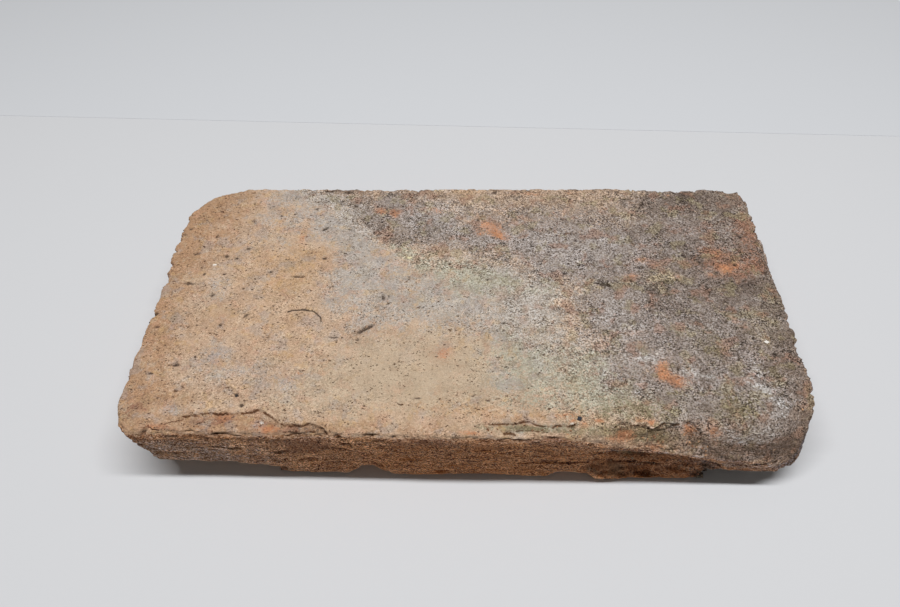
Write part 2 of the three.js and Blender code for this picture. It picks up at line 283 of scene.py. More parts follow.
# Dents of the struck face, painted dark as shade in them: x, y, half length, half width, depth and, where
# turned, the angle
dents = [
    (-112, 21.6, 1.1, 0.7, 0.9), (-106.6, 20.4, 0.5, 0.8, 0.8, 80), (-110.4, 10.5, 0.9, 0.6, 0.7),
    (-119.6, 10.2, 0.7, 0.7, 0.6), (-125, 4.6, 2.6, 0.8, 0.8, -4), (-126.6, 23, 1.5, 0.8, 0.5),
    (-112.6, -2, 0.9, 1.0, 0.5), (-136, -13, 1.8, 1.0, 1.4, 20), (-118.4, -39.6, 1.5, 0.6, 1.0, 4),
    (-90, -53.6, 0.9, 0.8, 1.0), (-87, -58.2, 0.9, 0.7, 0.8, 30), (-65.4, 20.6, 0.8, 0.7, 0.8),
    (-103.6, 45, 1.4, 0.8, 0.4, -30), (-102.6, 26.6, 0.8, 0.6, 0.7), (-119.6, 34.6, 0.6, 0.8, 0.6),
    (-95, -13.4, 1.1, 0.8, 0.5, 20), (-89, 12, 1.0, 0.5, 0.6, 30), (-74.4, 54, 0.9, 0.5, 0.6),
    (-62, 59.6, 1.3, 0.6, 0.6, 10), (-67.6, 40.2, 1.7, 0.6, 1.0, 40), (-76.6, 9.2, 3.4, 0.35, 0.9, -4),
    (-42, -20, 3.4, 0.8, 1.1, 35), (-40, -18.6, 0.8, 0.6, 0.7), (-55, -24.8, 1.8, 0.3, 0.7),
    (-36, -3, 0.7, 1.6, 0.5, 10), (-33.6, -2, 0.4, 1.0, 0.4), (44.8, 12.4, 0.7, 0.6, 0.9),
    (29.6, 4.4, 0.7, 0.5, 0.6), (60.4, 6.4, 2.8, 0.5, 1.2, -12), (63.6, 5.6, 2.2, 0.5, 1.1, -14),
    (14, 67, 1.0, 0.6, 0.8), (-10.4, 14.6, 0.6, 0.4, 0.8), (9.6, -54.6, 0.9, 0.4, 0.6),
    (-18, -54, 1.2, 0.35, 0.5), (122.4, 18.4, 0.8, 0.8, 0.9), (135, 14, 0.6, 1.2, 0.7),
    (129, 36, 0.6, 1.0, 0.6), (75.6, 67.6, 1.0, 0.5, 0.8, 10), (-91, 49, 0.6, 0.5, 0.5),
    (-45, -26, 0.9, 0.4, 0.5), (-105, -19, 1.4, 0.7, 0.4, 60), (-99.6, 1.8, 0.8, 0.5, 0.4),
    (-122, 62, 0.6, 0.5, 0.6), (-110, 33, 0.7, 0.4, 0.5, 20), (-84, -8, 0.8, 0.4, 0.5, 30),
    (-132, -20, 0.9, 0.5, 0.6), (-115, -19, 0.7, 0.4, 0.5, 30), (-128, -44, 1.4, 0.4, 0.6),
    (-134, 40, 0.9, 0.5, 0.6), (-96, 6, 0.6, 0.5, 0.5), (-57, 9, 0.5, 0.4, 0.5), (-70, 68, 2.6, 1.0, 0.9),
    (-60, 67, 1.4, 1.2, 0.7), (-79, 69, 1.4, 0.6, 0.8), (100, 24, 0.8, 0.6, 0.7),
    (86, 58, 1.2, 0.7, 0.6, 20), (108, 66, 1.0, 0.7, 0.6), (30, 29, 1.6, 0.4, 0.5, 10),
    (52, 33, 1.0, 0.5, 0.5), (80, -9, 1.0, 0.6, 0.6), (117, -18, 0.7, 0.5, 0.6), (127, -31, 0.9, 0.6, 0.7),
    (130, -49, 0.8, 1.0, 0.6),
]


def featureDistance(points):  # how far each point is from its nearest dent, lap or hair crack
    away = np.full(len(points), 99.0)
    for x, y, along, *_ in dents:
        away = np.minimum(away, np.hypot(points[:, 0] - x, points[:, 1] - y) - along)
    for way in [lap[-1] for lap in laps] + [hairCrack["way"]]:
        away = np.minimum(away, toLine(points[:, :2], curved(way))[0])
    return np.where(points[:, 2] > topHeight - bodyShape["topDepth"], away, 99.0)


def refine(mesh, chosen):  # halves the edges between the chosen vertices
    work = bmesh.new()
    work.from_mesh(mesh)
    edges = [e for e in work.edges if chosen[e.verts[0].index] and chosen[e.verts[1].index]]
    bmesh.ops.subdivide_edges(work, edges=edges, cuts=1, use_grid_fill=True)
    work.to_mesh(mesh)
    work.free()


def roughBody():  # a fine even mesh of the fixed model, with few faces on its hidden bed
    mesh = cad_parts["brick"].data.copy()
    work = bmesh.new()
    work.from_mesh(mesh)
    bmesh.ops.remove_doubles(work, verts=work.verts, dist=1e-6)
    work.to_mesh(mesh)
    work.free()
    body = newPiece("weatheredBrick", mesh)
    remesh = body.modifiers.new("cells", "REMESH")
    remesh.mode = "VOXEL"
    remesh.voxel_size = bodyShape["cell"] * mm
    relax = body.modifiers.new("relax", "SMOOTH")
    relax.factor = 0.5
    relax.iterations = bodyShape["soften"]
    bakeModifiers(body)
    onBed = vertexNumbers(body.data)[:, 2] < 0.35
    group = body.vertex_groups.new(name="bed")
    group.add(np.nonzero(onBed)[0].tolist(), 1.0, "REPLACE")
    thin = body.modifiers.new("thinBed", "DECIMATE")
    thin.vertex_group = group.name
    thin.ratio = 1 - onBed.mean() * (1 - bodyShape["bedFaces"])
    bakeModifiers(body)
    body.vertex_groups.clear()
    points = vertexNumbers(body.data)
    inFront = (points[:, 1] < frontEdge + bodyShape["frontBand"]) & (points[:, 2] > 1)
    near = featureDistance(points) < 2 * bodyShape["finer"]
    outline = np.min(np.abs(points[:, :2, None] - np.stack([lowCorner[:2], highCorner[:2]], 1)), axis=(1, 2))
    atRim = (outline < bodyShape["rimBand"]) & (points[:, 2] > topHeight - bodyShape["topDepth"])
    refine(body.data, inFront | near | atRim)
    points = vertexNumbers(body.data)
    refine(body.data, featureDistance(points) < bodyShape["finer"])
    return body


def lapDistance(points):  # to the nearest lap or crack, in widths of its opening, and the strips before them
    shaky = points[:, :2] + 0.45 * sideways(points, 4, 2, (51, 53))
    split = np.full(len(points), 9.0)
    ledge, drop, depth = np.zeros((3, len(points)))
    for opening, deep, step, way in laps:
        away, along, side = toLine(shaky, curved(way))
        ends = smoothstep(0, 0.06, along) * (1 - smoothstep(0.94, 1, along))
        widths = away / (opening * (0.4 + 0.6 * ends))
        depth = np.where(widths < split, deep * ends, depth)
        split = np.minimum(split, widths)
        before = ends * (side < 0) * (1 - smoothstep(2.5, 7.5, away)) * (step > 0)
        ledge = np.maximum(ledge, before)
        drop = np.maximum(drop, step * before)
    away, along, _ = toLine(shaky, curved(hairCrack["way"]))
    hair = away / hairCrack["width"] / (1.35 - 0.6 * along)
    shaky = points[:, [0, 2]] + 0.6 * sideways(points, 4, 2, (57, 58))
    faceSplit = np.full(len(points), 9.0)
    faceDepth = np.zeros(len(points))
    for opening, deep, way in faceCracks:
        away, along, _ = toLine(shaky, curved(way))
        ends = smoothstep(0, 0.15, along) * (1 - smoothstep(0.85, 1, along))
        widths = away / (opening * (0.3 + 0.7 * ends))
        faceDepth = np.where(widths < faceSplit, deep * ends, faceDepth)
        faceSplit = np.minimum(faceSplit, widths)
    return split, depth, ledge, drop, faceSplit, faceDepth, hair


# The ragged outline of the ends and the back
rimWear = {
    "torn": 1.7,  # how far it is eaten away
    "notches": 1.7,  # depth of its sharp notches
    "ragged": 0.25,  # its finest unevenness
    "cornerRadius": 24,  # of the plain outline that the wear follows
    "depth": 7,  # how far in from that outline it fades out
    "startsBelow": 22, "fullBelow": 4,  # heights under the struck face
    "soundTip": (-139, -70, 11),  # a corner that stays nearly whole, and its reach
}


def rimShift(points):  # how far the points near the outline of the ends and the back move sideways
    rim = rimWear
    middle = (lowCorner[:2] + highCorner[:2]) / 2
    reach = (highCorner[:2] - lowCorner[:2]) / 2 - rim["cornerRadius"]
    inner = np.clip(points[:, :2] - middle, -reach, reach) + middle
    away = points[:, :2] - inner
    length = np.maximum(np.linalg.norm(away, axis=1), 0.1)
    outward = away / length[:, None]
    line = np.column_stack([inner + rim["cornerRadius"] * outward, points[:, 2]])
    torn = smoothstep(0, 0.8, layers(line, 11, 4, 33, (1, 1, 2.5), rough=0.8))
    notched = sum(share * (1 - smoothstep(0, 0.13, np.abs(noise(line, size, seed, (1, 1, 2.5)))))
                  for size, share, seed in ((11, 1, 13), (5, 0.6, 15)))
    notched *= 0.25 + 0.75 * smoothstep(-0.3, 0.3, layers(line, 34, 2, 19))
    x, y, z = points.T
    place = smoothstep(95, 125, -x) + smoothstep(112, 130, x) + smoothstep(58, 68, y)
    tipX, tipY, tipReach = rim["soundTip"]
    kept = 1 - 0.9 * np.exp(-0.5 * (np.hypot(x - tipX, y - tipY) / tipReach) ** 2)
    amount = np.clip(place, 0, 1) * kept * (1 - smoothstep(0, rim["depth"], rim["cornerRadius"] - length))
    amount *= smoothstep(topHeight - rim["startsBelow"], topHeight - rim["fullBelow"], z)
    ragged = layers(line, 2.2, 2, 17, (1, 1, 2))
    eaten = rim["torn"] * torn + rim["notches"] * notched + rim["ragged"] * ragged
    return np.column_stack([outward * (amount * eaten)[:, None], np.zeros(len(points))])


def weather(points, normals):  # moves the points inwards; returns them with the laps and the hollows
    s = bodyShape
    up, down, side, front, arris = facing(normals)
    right = smoothstep(30, 95, points[:, 0] - 0.35 * points[:, 1])
    flat = np.clip(up + arris, 0, 1)
    onSlope = front * smoothstep(76, 90, points[:, 0]) * smoothstep(14, 18, points[:, 2])
    arris = arris * (1 - 0.75 * onSlope)
    layeredSide = side * (1 - 0.6 * onSlope)
    relief = np.zeros(len(points))
    # struck face
    relief += up * s["waves"] * layers(points, 34, 3, 1, (1.6, 1, 1))
    relief += up * s["sand"] * (1 + right) * layers(points, 3.6, 3, 5, rough=0.8)
    relief += up * s["pitDepth"] * pits(points, 5.5, 1.7, 0.28, 3, (1.3, 1, 1))
    relief += up * right * s["roughEnd"] * np.abs(layers(points, 7, 3, 9, rough=0.7))
    # sides
    layered = layers(points, 8, 4, 21, (2.4, 2.4, 0.6), rough=0.7)
    relief += layeredSide * s["sideRelief"] * (0.5 + layered)
    relief += layeredSide * s["gouges"] * pits(points, 4.6, 2.0, 0.4, 8, (2.2, 2.2, 0.6))
    relief += layeredSide * 0.5 * s["gouges"] * pits(points, 2.6, 1.2, 0.5, 11, (1.9, 1.9, 0.8))
    relief += arris * s["nibble"] * (0.2 + 0.8 * layers(points, 5, 3, 31, rough=0.8))
    relief += arris * s["bites"] * smoothstep(0.15, 0.7, layers(points, 6.5, 2, 35))
    relief += down * 0.15 * (1 + layers(points, 8, 2, 41))
    relief += front * 0.3 * s["sideRelief"] * layers(points, 2.2, 2, 43, (1.6, 1, 0.8)) * side
    x, y, z = points.T
    shaved = (1 - smoothstep(3, 13, z)) * (y < -58) * (x < 106)
    relief += side * s["cornerShave"] * smoothstep(90, 103, x) * shaved
    relief += up * dimples(points, dents, 61)
    # laps along the front arris, the dropped and broken strip before each, and the cracks of the front face
    split, depth, ledge, drop, faceSplit, faceDepth, hair = lapDistance(points)
    relief += up * 0.4 * (1 - smoothstep(0.6, 1.4, hair))
    opened = 1 - smoothstep(0.4, 1.2, split)
    relief += flat * (depth * opened + drop * (1 - opened))
    relief += flat * ledge * s["ledge"] * np.abs(layers(points, 3.4, 3, 45, (2.2, 0.8, 1), rough=0.8))
    faceOpened = (1 - smoothstep(0.3, 1.1, faceSplit)) * side * front
    relief += faceDepth * faceOpened
    inward = np.clip(relief + 0.12, 0, None)
    moved = points - normals * inward[:, None] - rimShift(points)
    moved = np.clip(moved, lowCorner + 0.02, highCorner - 0.02)
    return moved, {"split": np.clip(split + 9 * side, 0, 9), "ledge": ledge * flat, "inward": inward,
                   "faceSplit": np.clip(faceSplit + 9 * (1 - side * front), 0, 9), "hair": hair}


print("stage: body")
body = roughBody()
points = vertexNumbers(body.data)
normals = vertexNumbers(body.data, normals=True)
moved, worn = weather(points, normals)
setVertices(body.data, moved)
print("  triangles", sum(len(p.vertices) - 2 for p in body.data.polygons))


# Stains and films, with a few places of painted shade among them, in the order in which they lie on each
# other. A place on the struck face is x, y, half length, half width, strength and, where it is turned, its
# angle; on the front face it starts with x, z.
# grain is the size of the tears in a stain, and tear their depth; film is the size of the grains at its
# edge, and broken how far these break it up.

stains = {
    "tan": {"colour": "#b28c6b", "grain": 6, "film": 1.6, "broken": 0.25, "top": [
        (-136, 0, 10, 80, 0.9), (-128, -58, 16, 12, 0.8), (-124, 30, 14, 20, 0.7), (-60, -68, 60, 3, 0.7),
        (-95, -66, 16, 4, 0.9), (-116, 62, 16, 8, 0.7), (-125, 50, 12, 12, 0.7), (-126, -20, 10, 20, 0.5),
        (-100, -56, 30, 6, 0.4)],
        "front": [(-112, 18, 40, 24, 0.6), (110, 16, 24, 3.4, 0.8, 3)]},
    "ochre": {"colour": "#c4a07a", "grain": 6, "film": 1.8, "broken": 0.25, "top": [
        (-80, 8, 11, 13, 0.7), (-72, 22, 9, 6, 0.6), (-73, -35, 5, 4, 0.6), (-58, -38, 3, 3, 0.6),
        (-136.6, -61, 2.4, 6, 0.9), (-100, 15, 12, 12, 0.4), (-86, -22, 14, 8, 0.5),
        (-108, -12, 8, 10, 0.4), (-90, 30, 8, 8, 0.4), (-14, -57, 13, 3.5, 0.7, 4), (6, -57, 7, 4, 0.6),
        (16, -61, 14, 3, 0.6), (30, -61, 10, 2, 0.5), (-13, 65, 4, 3, 0.8), (-3, 64, 7, 6, 0.6),
        (8, 67, 8, 4, 0.5), (-50, -66, 30, 2.5, 0.5), (133, 66, 6, 5, 0.8), (-108, 59, 9, 4, 0.4),
        (-92, -64, 16, 2, 0.5)],
        "front": [(-110, 20, 26, 12, 0.3)]},
    "peach": {"colour": "#c3ae94", "grain": 9, "film": 2, "top": [
        (-25, -45, 36, 15, 0.9), (-58, -54, 18, 8, 0.5), (4, -36, 9, 16, 0.8), (-40, -30, 16, 10, 0.6, 20),
        (-12, -25, 14, 10, 0.6)]},
    "greyFilm": {"colour": "#b8b0a7", "grain": 8, "film": 1.3, "broken": 0.25, "top": [
        (-80, 62, 26, 8, 0.7, -6), (-62, 46, 13, 13, 0.85), (-50, 32, 14, 9, 0.9, -35),
        (-90, 46, 16, 10, 0.45), (-38, 12, 15, 12, 0.8), (-30, -6, 16, 10, 0.6), (-8, -5, 17, 15, 0.8),
        (-110, 0, 9, 11, 0.45), (-52, 12, 12, 12, 0.6), (-56, 0, 10, 12, 0.5), (14, 6, 20, 16, 0.85),
        (24, -16, 16, 16, 0.8), (38, -30, 14, 16, 0.6), (40, 5, 14, 12, 0.6), (18, -45, 10, 10, 0.4),
        (-98, -40, 16, 8, 0.5), (-90, 34, 12, 8, 0.35), (-44, -16, 10, 7, 0.5), (-28, -20, 10, 6, 0.35),
        (-72, -48, 10, 6, 0.4), (-16, 52, 14, 8, 0.7)]},
    "stoneGrey": {"colour": "#978d87", "grain": 7, "film": 1.2, "broken": 0.2, "top": [
        (18, 34, 44, 13, 0.85), (-38, 54, 15, 13, 0.95), (-20, 40, 14, 7, 0.6), (50, 18, 22, 12, 0.8),
        (78, 30, 36, 14, 0.8), (62, -10, 14, 18, 0.85), (90, -10, 26, 40, 0.9), (118, -10, 24, 50, 0.95),
        (60, -42, 14, 10, 0.7), (94, -52, 26, 16, 0.9), (115, -60, 20, 12, 0.9), (112, 48, 28, 26, 0.85),
        (60, 52, 40, 14, 0.6), (20, 55, 24, 12, 0.5), (-72, 64, 12, 6, 0.35)]},
    "lilac": {"colour": "#aca29b", "grain": 6, "film": 1.3, "broken": 0.2, "top": [
        (-113, 0, 7, 10, 0.35), (-104, -34, 9, 7, 0.5), (-88, -42, 15, 6, 0.5), (-70, -50, 11, 4, 0.5),
        (-50, -26, 6, 9, 0.4), (15, 31, 38, 11, 0.5), (-18, 46, 18, 10, 0.75), (-12, 60, 14, 8, 0.4),
        (45, 22, 20, 9, 0.5), (35, -32, 8, 4, 0.5), (67, -11, 12, 13, 0.85), (78, -34, 8, 4, 0.6),
        (70, 30, 34, 10, 0.5), (62, -34, 10, 8, 0.5), (120, -38, 18, 12, 0.4), (118, 4, 18, 10, 0.4),
        (-104, 45, 4, 3, 0.4), (116, -58, 14, 10, 0.4), (-113, -61, 5.4, 3.2, 0.6, -20),
        (-79, -66, 2.6, 2, 0.9, 30), (-99.5, -65.7, 5, 2.2, 0.7), (-68, -69, 3, 1, 0.5)]},
    "warmTan": {"colour": "#ad957f", "grain": 7, "film": 1.5, "top": [
        (40, 62, 46, 8, 0.8), (78, 50, 24, 8, 0.5), (122, 48, 12, 8, 0.4), (20, 50, 14, 6, 0.3)],
        "front": [(60, 33, 60, 5, 0.4)]},
    "algae": {"colour": "#b2ae9a", "grain": 6, "film": 1.2, "top": [
        (-6, 14, 14, 9, 0.7), (8, 6, 16, 9, 0.6), (30, 2, 20, 6, 0.4, -5), (20, -30, 10, 13, 0.6),
        (34, -42, 20, 10, 0.6), (50, -38, 12, 9, 0.5), (30, -54, 18, 6, 0.5), (60, -55, 16, 8, 0.7),
        (-26, 23, 5, 5, 0.7), (-34, 28, 5, 2.5, 0.7, -35), (-20, 16, 4, 3, 0.5), (26, -66.5, 20, 1.6, 0.8),
        (66, -67.5, 16, 1.8, 0.8)]},
    "grime": {"colour": "#77685d", "grain": 6, "film": 1.1, "broken": 0.25, "top": [
        (106, -12, 36, 34, 0.5), (105, 20, 34, 16, 0.45), (96, -52, 32, 14, 0.4), (126, 35, 10, 30, 0.5),
        (112, 62, 26, 12, 0.8), (-24, 66, 26, 6, 0.5), (-38, 54, 14, 12, 0.3), (20, 26, 26, 6, 0.3),
        (90, 56, 10, 14, 0.5), (108, 22, 9, 7, 0.6), (84, 0, 9, 12, 0.45), (120, 4, 16, 8, 0.6),
        # the two places near x -61 along the front lap are painted shade below its dropped strip; the others
        # are grime
        (130, -34, 12, 14, 0.6), (134, 0, 6, 70, 0.6), (-62, 68, 6, 3, 0.6), (-62, -67.6, 7, 1.3, 0.7),
        (-60, -69.6, 8, 1, 0.6), (88, 36, 14, 8, 0.4), (118, 60, 16, 10, 0.5)],
        "front": [(112, 28, 30, 6, 0.6), (131, 22, 9, 8, 0.8), (80, 33, 18, 3, 0.6)]},
    "soot": {"colour": "#554840", "grain": 4, "film": 0.9, "broken": 0.25, "top": [
        (108, 64, 8, 6, 0.7), (90, 60, 5, 6, 0.4), (-24, 69, 8, 2, 0.5), (-23, 48, 5, 5, 0.35),
        (80, 5, 5, 4, 0.6), (88, 8, 7, 7, 0.65), (110, 22, 7, 4, 0.8), (122, 4, 10, 5, 0.7),
        (98, 30, 8, 3, 0.5, 20), (130, 50, 4, 10, 0.5), (110, -70, 20, 1, 0.4), (120, -8, 8, 5, 0.35),
        (64, 6, 8, 4, 0.6), (100, -70, 8, 2, 0.7), (136, -10, 3, 30, 0.5), (131, -64, 6, 6, 0.4)],
        # some front places, such as x 61 at z 26.3, run along the overhanging upper edge of the spall as
        # painted shadow under it; the rest is soot
        "front": [(115, 23.8, 18, 3.2, 1, -9), (122, 22.6, 10, 2.4, 0.9, -9), (131, 18, 6, 5, 0.9),
        (98, 27, 7, 2.4, 0.6, -20), (80, 29.2, 7, 1.5, 0.9), (66, 29.4, 9, 1, 0.5),
        (61, 26.3, 8, 1.4, 0.9, -8), (76, 14, 9, 2, 0.95, -8), (88, 11.6, 9, 2, 0.95, -10),
        (98, 9.6, 5, 1.8, 0.9, -15), (74, 15, 22, 7, 0.45, -12), (92, 12, 9, 4, 0.6, -20),
        (60, 21, 9, 3, 0.7, -6), (44, 15, 6, 3, 0.5)]},
    "olive": {"colour": "#857858", "grain": 4, "film": 1.2, "broken": 0.25, "top": [
        (62, -59, 18, 6, 0.6), (76, -58, 11, 5, 0.4), (66, -67.3, 18, 2, 0.9), (24, -66.5, 18, 1.5, 0.8),
        (103, -30, 6, 5, 0.6), (98, -22, 10, 6, 0.4), (84, -50, 4, 3, 0.5), (106, -57, 9, 7, 0.8),
        (134, 0, 4, 8, 0.5), (126, -17, 8, 8, 0.4), (88, 6, 6, 6, 0.4), (-27, 14, 5, 6, 0.2)],
        "front": [(92, 29.5, 6, 3, 0.8, 20), (66, 31.5, 12, 1.4, 0.5)]},
    "redBrown": {"colour": "#946a53", "grain": 5, "film": 1.5, "top": [
        (133, 40, 7, 18, 0.7), (114, 26, 6, 4, 0.8), (122, 17, 14, 6, 0.8), (104, 40, 12, 5, 0.4),
        (112, -34, 7, 6, 0.3), (86, 24, 7, 4, 0.3), (-93, -64.6, 6, 2.2, 0.8), (-75, -67, 4, 3.4, 0.8, 20),
        (-118, -68.4, 7, 1.6, 0.7), (-104, -65, 5, 2, 0.4), (-127.5, -60, 4, 1.6, 0.8, -15),
        (-131, -63, 1.6, 3, 0.6), (-64, -68, 9, 1.8, 0.6), (24, -63.4, 5, 1.2, 0.6),
        (33, -70.5, 9, 1.4, 0.6)]},
    "burnt": {"colour": "#b8723c", "grain": 5, "film": 1.5, "top": [],
        "front": [(14, 17, 50, 24, 0.9), (74, 8, 26, 9, 0.9), (-20, 12, 40, 14, 0.6)]},
    "orange": {"colour": "#c68a63", "grain": 2.5, "film": 0.9, "tear": 0.45, "top": [
        (12, 41, 4.6, 3.4, 0.9, -25), (15.6, 35.8, 3.8, 2, 1, -20), (6.5, 37, 1.6, 1.2, 0.7),
        (-42, 52.6, 2.6, 2, 0.8), (-35, 51.4, 2.6, 2.2, 0.9), (-14, 53, 3, 1.8, 0.6),
        (-19, 54.5, 2, 1, 0.4), (5, 40, 2, 1.8, 0.4), (27, 39, 1.8, 1.8, 0.4), (17, 54, 2.4, 1.8, 0.3),
        (117.5, 15.6, 3.6, 2.6, 0.9), (115, 25, 4, 4, 0.5), (122, 18, 3, 2, 0.8), (110, 12, 2, 1.4, 0.6),
        (95, 10.5, 2.4, 1.6, 0.5), (80, 21, 3, 1.4, 0.7), (88, 17, 3, 1.6, 0.4),
        (75, 10.4, 3, 1.4, 0.7, 10), (74, 17, 2, 2, 0.3), (71, -21, 4, 1.1, 0.5, 5),
        (80, -38.6, 2.8, 3.2, 1), (84.6, -44.4, 4.2, 2.4, 1, -20), (79.6, -42.6, 2.6, 2.2, 1),
        (-8, -33, 2.4, 3, 0.75, -30), (-9, -31, 6, 4, 0.2), (-66, -43, 2, 1.1, 0.6),
        (-57, -42.6, 1.8, 1.4, 0.35), (-78, 34, 1.8, 4, 0.6), (33, 65.6, 5, 1.6, 0.55),
        (51, 67, 1.6, 2, 0.5), (50, 58, 1.1, 3, 0.35, -10), (48, 52.6, 1.4, 2, 0.45, -25),
        (46.7, -64.5, 1.1, 1.2, 1), (41.8, -63.4, 2, 0.7, 0.7, 10), (52.3, -62.7, 1.8, 0.9, 1),
        (62, -67.7, 3, 1.4, 1), (68, -62.4, 3, 0.7, 0.9), (72.3, -63.4, 1.4, 1, 1),
        (86.8, -65.2, 3, 2.2, 1, 20), (96.8, -65.5, 3.2, 1.6, 1, -10), (57.5, -68.9, 4, 0.7, 0.7),
        (3, -69, 4, 1, 0.7), (25, -61.6, 6, 0.8, 0.4), (-74, -68, 5, 1.6, 0.7), (100, 65, 1, 0.8, 0.6),
        (40, -61, 5, 1.6, 0.6), (-94, -63.6, 4, 1.4, 0.5), (-119, -68.2, 4, 1.2, 0.6),
        (-75.2, -67.6, 3, 1.8, 0.9), (-91.5, -63.4, 5, 1.4, 0.4), (-101, -67.4, 4, 1, 0.4),
        (-72, -35, 2, 1, 0.3), (-92, 20, 2, 1.4, 0.3)],
        "front": [(108, 17, 22, 2.4, 0.25, -4), (73.5, 28, 5, 1, 0.8, -5), (97, 31.4, 2.6, 1.4, 0.9)]},
    "lime": {"colour": "#beb8b2", "grain": 3, "film": 0.8, "broken": 0.25, "top": [
        (56.5, -41, 1.8, 1.6, 0.9), (57, -47.6, 1.4, 1.4, 0.8), (68, -50, 2.6, 1.2, 0.6),
        (118, -37, 5, 3, 0.5, -40), (75, -34, 5, 2.2, 0.8, -20), (91, -40.6, 4, 1.8, 0.9, -10),
        (98.6, -42.4, 3, 1.2, 0.8), (70, -14, 9, 9, 0.25), (86, -18, 9, 4, 0.3), (104, 25, 5, 2, 0.3),
        (58, -22, 8, 6, 0.25), (118, -42, 6, 2.4, 0.4, -30), (-51, 50, 2.4, 2, 0.5), (-54, 55, 1.6, 3, 0.3),
        (110, -64.6, 10, 1.6, 0.6)],
        "front": [(108, 29, 11, 2, 0.8, -6)]},
    "crust": {"colour": "#b8a688", "grain": 2.5, "film": 0.8, "top": [
        (84, 9, 4, 3, 0.8, 30), (91, 12, 4, 3, 0.8), (87, 3, 2, 1.6, 0.9), (111, 3, 2, 2, 0.5),
        (60, 4, 3, 1.2, 0.6, -15), (125, -24, 2, 3, 0.7), (133, 0, 4, 5, 0.4), (124, -15, 7, 6, 0.4),
        (-27, 22, 2.2, 1.4, 0.9), (28, -21, 10, 5, 0.3), (40, -16, 8, 5, 0.3)]},
}

# The edge of the dark film, with the film on its left, and the pale ring that dried out of a puddle
filmEdge = {
    "way": [(-66, 72), (-60, 62), (-56.5, 54), (-53, 46.5), (-47, 39), (-40, 32), (-31, 29), (-20, 30)],
    "reach": 13, "strength": 0.85,
}
paleRing = {
    "way": [(95, -64.8), (99.2, -65.3), (105.7, -66.4), (111.2, -66.2), (114.4, -65.2), (119, -63.6),
            (121, -60), (122.4, -56), (121.4, -52), (119, -48.4), (115, -45.2), (111.7, -42.9)],
    "width": 2.4, "above": (25.4, 27.4), "strength": 0.85,
}
endGrime = 0.7  # how dirty the right end face is


def seedOf(name):
    return sum(ord(letter) for letter in name) % 97


def paintMasks(mesh, points, normals):  # the stains and the zones of the clay, as numbers on the vertices
    up, _, _, front, arris = facing(normals)
    x, y, z = points.T
    side = 1 - smoothstep(0.22, 0.5, np.abs(normals[:, 2]))
    lit = smoothstep(0.15, 0.6, vertexNumbers(mesh, normals=True)[:, 2])
    bared = 1 - side * (1 - lit)
    slanting = front * (1 - smoothstep(27, 33, z))
    covers = {}
    for name, stain in stains.items():
        seed, grain = seedOf(name), stain["grain"]
        covers[name] = blotches(points, stain["top"], seed, grain, stain.get("tear", 0.8)) * bared
        if "front" in stain:
            below = blotches(points[:, [0, 2, 1]], stain["front"], seed, grain) * slanting
            covers[name] = np.maximum(covers[name], below)
    places = points[:, :2] + sideways(points, 5, 3, (71, 74), rough=0.7) * 1.6
    away, _, sideOf = toLine(places, curved(filmEdge["way"]))
    onFilm = np.exp(-away / filmEdge["reach"]) * smoothstep(-0.8, 0.8, np.where(sideOf > 0, away, -away))
    onFilm *= 0.55 + 0.45 * smoothstep(-0.5, 0.4, layers(points, 6, 4, 77, rough=0.7))
    covers["grime"] = np.maximum(covers["grime"], filmEdge["strength"] * onFilm * bared)
    away = toLine(places, curved(paleRing["way"]))[0]
    ring = 1 - smoothstep(0.2, 1.6, away / paleRing["width"])
    ring *= smoothstep(-0.6, 0.3, layers(points, 5, 3, 79, rough=0.7))
    ring *= smoothstep(*paleRing["above"], z) * (0.6 + 0.4 * smoothstep(100, 106, x))
    covers["lime"] = np.maximum(covers["lime"], paleRing["strength"] * ring * bared)
    onEnd = side * smoothstep(108, 134, x) * smoothstep(-0.6, 0.3, layers(points, 9, 3, 83))
    covers["grime"] = np.maximum(covers["grime"], endGrime * onEnd)
    # painted shade in the dents, the darker the deeper, and along the hair crack
    shadedDents = [(*dent[:4], min(1, dent[4] + 0.3), *dent[5:]) for dent in dents]
    dark = dimples(points, shadedDents, 61)
    dark = np.maximum(dark, 1 - smoothstep(0.6, 1.3, worn["hair"]))
    rough = smoothstep(-20, 70, x + 0.6 * y)
    onBack = smoothstep(-6, 8, y - 30 + 0.8 * (x + 40)) * (y > 15)
    smooth = np.exp(-((x + 22) / 30) ** 2 - ((y + 42) / 17) ** 2)
    # the dark mask below is painted shade in the dents and along the hair crack, and the sunk mask is painted
    # shade where the surface was moved inwards
    masks = covers | {
        "dark": dark * (1 - side), "side": side, "lit": side * lit, "edge": arris, "ledge": worn["ledge"],
        "split": np.minimum(worn["split"], worn["faceSplit"]),
        "sunk": smoothstep(0.3, 2.2, worn["inward"]) * (side + 0.6 * arris + 0.4 * up),
        "rough": np.clip(np.maximum(rough, 0.8 * onBack) + 0.28 - 0.35 * smooth, 0, 1),
        "sandy": side * (0.45 + 0.55 * front) + 0.12 * (1 - side) * (x < -20),  # where the loose grains lie
        "gritty": (1 - side) * smoothstep(20, 100, x) * 0.7 + 0.5 * covers["soot"] + 0.3 * arris,
        "broken": worn["ledge"] + 0.2 * arris * front * (normals[:, 2] > 0.6),
    }
    for name, values in masks.items():
        setAttribute(mesh, name, values)


print("stage: stains")
paintMasks(body.data, points, normals)


# Shader helpers, and the groups that the clay is made of

def addNode(tree, kind, inputs=None, **settings):  # adds a node, sets it, and sets or links its inputs
    made = tree.nodes.new(kind)
    for name, value in settings.items():
        setattr(made, name, value)
    for key, value in (inputs or {}).items():
        if isinstance(value, bpy.types.NodeSocket):
            tree.links.new(value, made.inputs[key])
        else:
            made.inputs[key].default_value = value
    return made


def put(tree, kind, inputs=None, **settings):
    return addNode(tree, "ShaderNode" + kind, inputs, **settings)


